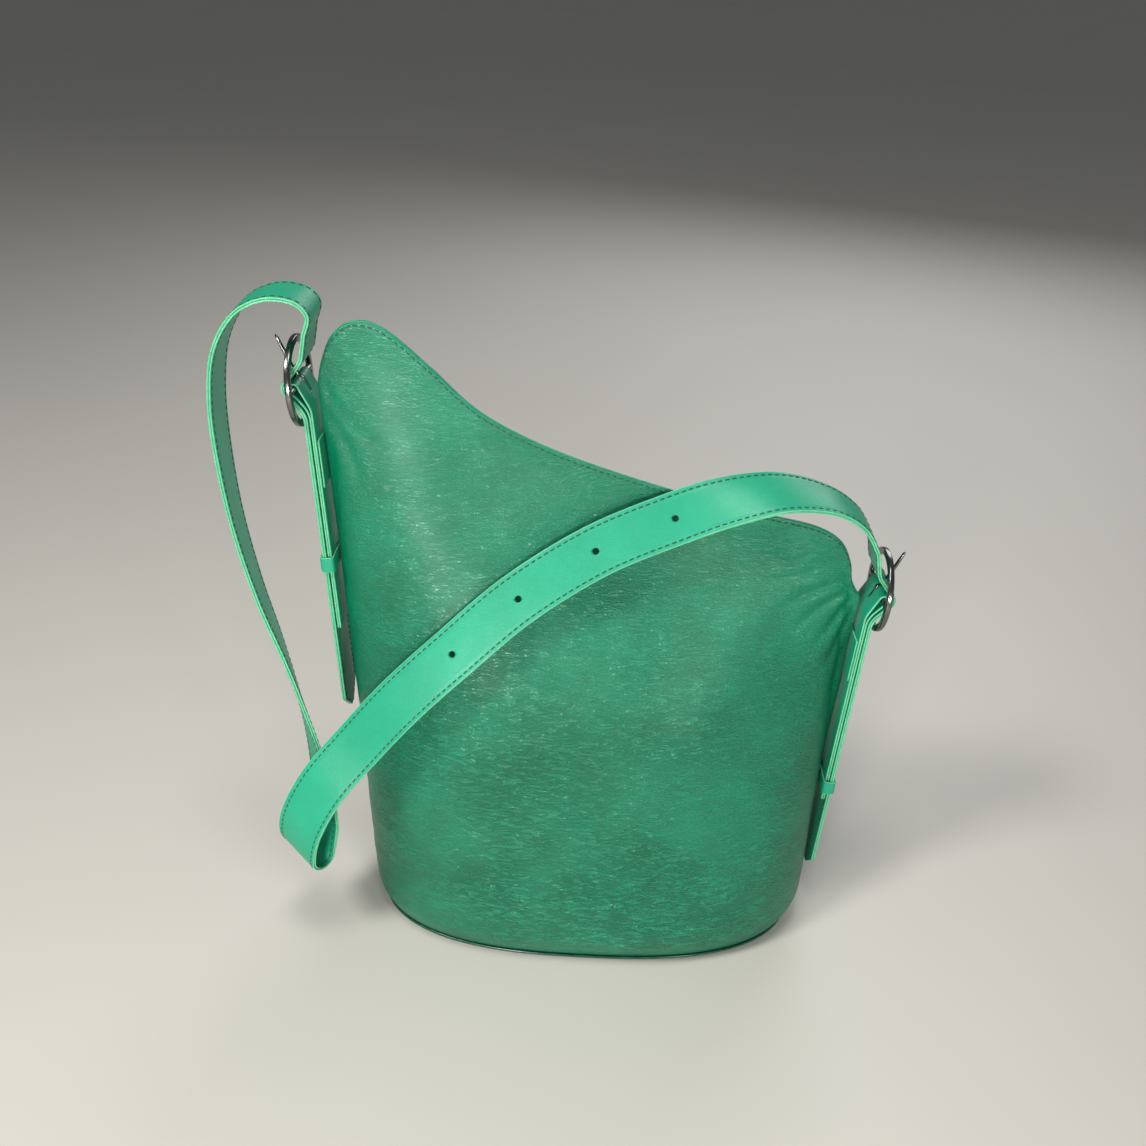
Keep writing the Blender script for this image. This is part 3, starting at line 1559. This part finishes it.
# ------------------------------------------------------------------ shoulder strap
@dataclass
class ShoulderStrap:
    """The long flat strap: two plies, stitched along both edges, punched and slotted."""

    wardrobe: Wardrobe
    planes: dict
    weave: Weave
    width: float = 30.0
    ply: float = 1.35
    gap: float = 0.1
    hole_radius: float = 1.9
    hole_stations: tuple = (21, 22, 23, 24)
    slot_play: tuple = (4.0, 27.0)
    stitch_inset: float = 2.5
    steps: int = 16
    run: tuple = (
        ((-158.0, 0, 392), (0, -1, 0)), ((-165.0, -1, 399.5), (0, -1, 0)),
        ((-180.0, -2, 400.5), (0, -1, 0)), ((-196.0, -3, 392), (0, -1, 0)),
        ((-208.0, -4, 372), (0, -1, 0)), ((-213.0, -5, 345), (0.02, -1, 0)),
        ((-213.0, -7, 313), (0.06, -1, 0)), ((-209.0, -10, 271), (0.13, -1, 0)),
        ((-200.0, -14, 227), (0.22, -1, -0.02)), ((-188.0, -20, 189), (0.33, -0.95, -0.03)),
        ((-179.0, -25, 157), (0.42, -0.92, -0.05)), ((-172.0, -30, 128), (0.5, -0.85, -0.1)),
        ((-168.0, -35, 101), (0.6, -0.8, -0.15)), ((-168.0, -40, 77), (0.68, -0.7, -0.22)),
        ((-173.5, -50, 60), (0.72, -0.6, -0.33)), ((-178.0, -63, 70), (0.75, -0.5, -0.42)),
        ((-174.0, -67, 94), (0.75, -0.42, -0.5)), ((-160.0, -64, 122), (0.72, -0.38, -0.58)),
        ((-139.0, -57, 148), (0.69, -0.36, -0.63)), ((-112.0, -56, 182), (0.66, -0.4, -0.64)),
        ((-82.0, -50, 212), (0.6, -0.45, -0.66)), ((-46.0, -38, 243), (0.5, -0.48, -0.72)),
        ((-4.0, -26, 269), (0.42, -0.5, -0.75)), ((39.0, -19, 288), (0.32, -0.55, -0.77)),
        ((68.0, -15, 298), (0.2, -0.75, -0.62)), ((98.0, -9, 302), (0.05, -0.93, -0.36)),
        ((126.0, -3, 296), (0, -1, -0.1)), ((145.0, 0, 284), (0, -1, 0)),
    )

    def stations(self) -> tuple:
        """List the run's places and width directions, with the two buckle ends added.

        Returns:
            The places and the directions.
        """
        ends = [self.planes[side].at(*self.weave.corners[0]) for side in Side]
        points = [ends[0]] + [Vector(p) for p, _ in self.run] + [ends[1]]
        flat = Vector((0, -1, 0))
        across = [flat] + [Vector(w) for _, w in self.run] + [flat]
        return points, across

    def frames(self) -> Frames:
        """Draw the whole strap's line.

        Returns:
            The line, from the left tail's end to the right tail's end.
        """
        points, across = self.stations()
        flat = Vector((0, -1, 0))
        left = [self.planes[Side.LEFT].at(p.x, p.y) for p in reversed(self.weave.line())]
        right = [self.planes[Side.RIGHT].at(p.x, p.y) for p in self.weave.line()]
        last = len(points) - 1
        middle = [i / self.steps for i in range(1, last * self.steps)]
        line = left + [catmull(points, m) for m in middle] + right
        widths = [flat] * len(left) + [catmull(across, m) for m in middle] + [flat] * len(right)
        return Frames(line, widths)

    def tools(self) -> list:
        """Make the shapes of the punched holes and of the two prong slots.

        Returns:
            The shapes.
        """
        points, across = self.stations()
        made = []
        for station in self.hole_stations:
            ahead = (catmull(points, station + 0.02) - catmull(points, station - 0.02)).normalized()
            width = (across[station] - ahead * across[station].dot(ahead)).normalized()
            bearings = [2 * pi * k / 28 for k in range(28)]
            ring = [points[station] + (width * cos(a) + ahead * sin(a)) * self.hole_radius for a in bearings]
            made.append(prism("hole", ring, width.cross(ahead), 4.0))
        for side in Side:
            plane = self.planes[side]
            low, high = (radians(a) for a in self.slot_play)
            corners = []
            for lean, reach, aside in ((low, 2, -1.4), (low, 14, -1.4), (high, 14, 1.4), (high, 2, 1.4)):
                out = reach * sin(lean) + aside * cos(lean)
                corners.append(plane.at(out, reach * cos(lean) - aside * sin(lean)))
            made.append(prism("prong_slot", corners, Vector((0, 1, 0)), 1.7))
        return made

    def build(self) -> list:
        """Build both plies and the four rows of stitches.

        Returns:
            The pieces.
        """
        frames = self.frames()
        w = self.wardrobe
        shift = (self.ply + self.gap) / 2
        ribbon = Ribbon(self.width, self.ply, point=12.0)
        made = []
        face_looks, back_looks = [w.strap, w.strap_edge, w.backing], [w.backing, w.strap_edge, w.strap]
        plies = (
            ("strap_face_leather", "strap_face", shift, False, face_looks, "strap_leather"),
            ("strap_backing_leather", "strap_lining", -shift, True, back_looks, "strap_backing"),
        )
        for name, node, out, flip, materials, slot in plies:
            piece = ribbon.build(name, frames, materials, out, flip)
            cut(piece, self.tools())
            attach(piece, "root")
            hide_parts(node)
            made.append(piece)
        for name, sign in (("strap_face_stitches", 1), ("strap_backing_stitches", -1)):
            maker = MeshMaker()
            line = Line(frames.points)
            for aside in (1, -1):
                spots = []
                for k, centre in enumerate(frames.points):
                    half = ribbon.half(line.marks[k], line.length)
                    place = max(half - self.stitch_inset, 0.8)
                    level = shift + ribbon.top(place, half) + 0.02
                    spots.append(centre + frames.across[k] * aside * place + frames.out[k] * sign * level)
                outward = [o * sign for o in frames.out]
                needle = Stitcher(pitch=4.2, length=3.0, radius=0.34)
                needle.row(maker, Line(spots[3:-3]), outward[3:-3], start=1.0)
            piece = maker.build(name, [w.thread])
            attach(piece, "root")
            made.append(piece)
        return made


# ------------------------------------------------------------------ snap
@dataclass
class Snap:
    """The magnet snap and its washers, which keep their drafted shapes."""

    wardrobe: Wardrobe
    nodes: tuple = ("snap_socket", "snap_stud", "snap_washer_front", "snap_washer_back")

    def build(self) -> list:
        """Give the snap's parts their plated finish.

        Returns:
            The parts.
        """
        parts = []
        for name in self.nodes:
            part = frame["nodes"][name]
            for place in part.material_slots:
                place.material = self.wardrobe.snap
            parts.append(part)
        return parts


# ------------------------------------------------------------------ studio
@dataclass(frozen=True)
class Lamp:
    """A soft rectangular lamp."""

    name: str
    place: tuple
    aim: tuple
    size: float
    power: float
    colour: tuple = (1.0, 1.0, 1.0)

    def build(self) -> bpy.types.Object:
        """Build the lamp and link it.

        Returns:
            The lamp.
        """
        light = bpy.data.lights.new(self.name, "AREA")
        light.energy = self.power
        light.size = self.size
        light.color = self.colour
        lamp = bpy.data.objects.new(self.name, light)
        lamp.location = self.place
        lamp.rotation_euler = (Vector(self.aim) - Vector(self.place)).to_track_quat("-Z", "Y").to_euler()
        bpy.context.scene.collection.objects.link(lamp)
        return lamp


@dataclass(frozen=True)
class CameraStand:
    """The camera: where it stands, where it looks and its lens."""

    place: tuple = (-0.00697, -0.58506, 0.57767)
    yaw: float = radians(-0.955)
    pitch: float = radians(30.03)
    roll: float = radians(2.119)
    lens: float = 36.09
    sensor: float = 36.0

    def build(self) -> bpy.types.Object:
        """Build the camera and make it the scene's own.

        Returns:
            The camera.
        """
        ahead = Vector((sin(self.yaw) * cos(self.pitch), cos(self.yaw) * cos(self.pitch), -sin(self.pitch)))
        right = Vector((cos(self.yaw), -sin(self.yaw), 0))
        down = ahead.cross(right)
        if down.z > 0:
            down = -down
        across = right * cos(self.roll) - down * sin(self.roll)
        below = right * sin(self.roll) + down * cos(self.roll)
        data = bpy.data.cameras.new("camera")
        data.lens = self.lens
        data.sensor_width = self.sensor
        data.clip_start = 0.01
        data.clip_end = 100.0
        camera = bpy.data.objects.new("camera", data)
        turn = Matrix((across, -below, -ahead)).transposed().to_4x4()
        camera.matrix_world = Matrix.Translation(self.place) @ turn
        bpy.context.scene.collection.objects.link(camera)
        bpy.context.scene.camera = camera
        return camera


@dataclass
class Studio:
    """Pale floor, soft light and the camera."""

    floor_size: float = 30.0
    floor_colour: tuple = (0.60, 0.58, 0.53)
    sky: tuple = (0.80, 0.82, 0.85)
    sky_strength: float = 0.16
    lamps: tuple = (
        Lamp("key", (-0.75, -0.55, 1.35), (-0.03, 0.0, 0.22), 0.28, 11.0, (1.0, 0.98, 0.95)),
        Lamp("gloss", (-0.27, -1.00, 0.32), (-0.07, 0.0, 0.28), 0.18, 7.0, (1.0, 0.99, 0.97)),
        Lamp("shoulder", (0.43, -1.00, 0.30), (0.08, 0.0, 0.25), 0.14, 2.6, (1.0, 0.99, 0.97)),
        Lamp("top", (-0.05, -0.30, 1.70), (0.0, 0.0, 0.2), 0.40, 8.0, (1.0, 0.99, 0.97)),
        Lamp("back", (0.55, 1.45, 1.15), (0.0, 0.0, 0.2), 1.0, 11.0, (0.98, 0.99, 1.0)),
        Lamp("fill", (1.3, -1.1, 0.8), (0.05, 0.0, 0.15), 1.2, 0.4, (0.94, 0.97, 1.0)),
    )

    def floor_finish(self) -> bpy.types.Material:
        """Make the floor's plain pale finish.

        Returns:
            The material.
        """
        n = Nodes("studio_floor")
        clouds = n.noise(2.5, 3.0)
        low = (*[c * 0.97 for c in self.floor_colour], 1)
        colour = n.mix(n.ramp(clouds, 0.3, 0.7), low, (*self.floor_colour, 1))
        return n.finish(colour, 0.55)

    def build(self) -> None:
        """Build the floor, the lamps, the sky and the camera."""
        half = self.floor_size / 2
        mesh = bpy.data.meshes.new("floor")
        corners = [(-half, -half, 0), (half, -half, 0), (half, half, 0), (-half, half, 0)]
        mesh.from_pydata(corners, [], [(0, 1, 2, 3)])
        mesh.materials.append(self.floor_finish())
        floor = bpy.data.objects.new("floor", mesh)
        bpy.context.scene.collection.objects.link(floor)
        for lamp in self.lamps:
            lamp.build()
        world = bpy.data.worlds.new("studio")
        world.use_nodes = True
        world.node_tree.nodes["Background"].inputs["Color"].default_value = (*self.sky, 1)
        world.node_tree.nodes["Background"].inputs["Strength"].default_value = self.sky_strength
        bpy.context.scene.world = world
        bpy.context.scene.view_settings.view_transform = "Standard"
        CameraStand().build()


# ------------------------------------------------------------------ assembly
def main() -> None:
    """Build the bag piece by piece and report each one."""
    logging.basicConfig(level=logging.INFO, format="%(name)s: %(message)s")
    wardrobe = Wardrobe()
    weave = Weave()
    planes = {side: SidePlane(side) for side in Side}
    Studio().build()
    makers = [Body(wardrobe), Snap(wardrobe), ShoulderStrap(wardrobe, planes, weave)]
    drops = {Side.LEFT: 106.0, Side.RIGHT: 139.0}
    made = []
    for maker in makers:
        made += maker.build()
    for side, plane in planes.items():
        made += Tab(plane, weave, wardrobe).build()
        buckle = Buckle(plane, wardrobe)
        made += [buckle.ring(), buckle.prong()]
        made += Keeper(plane, wardrobe, drops[side]).build()
    for piece in made:
        log.info("%s: %d faces", piece.name, len(piece.data.polygons))


if __name__ == "__main__":
    main()
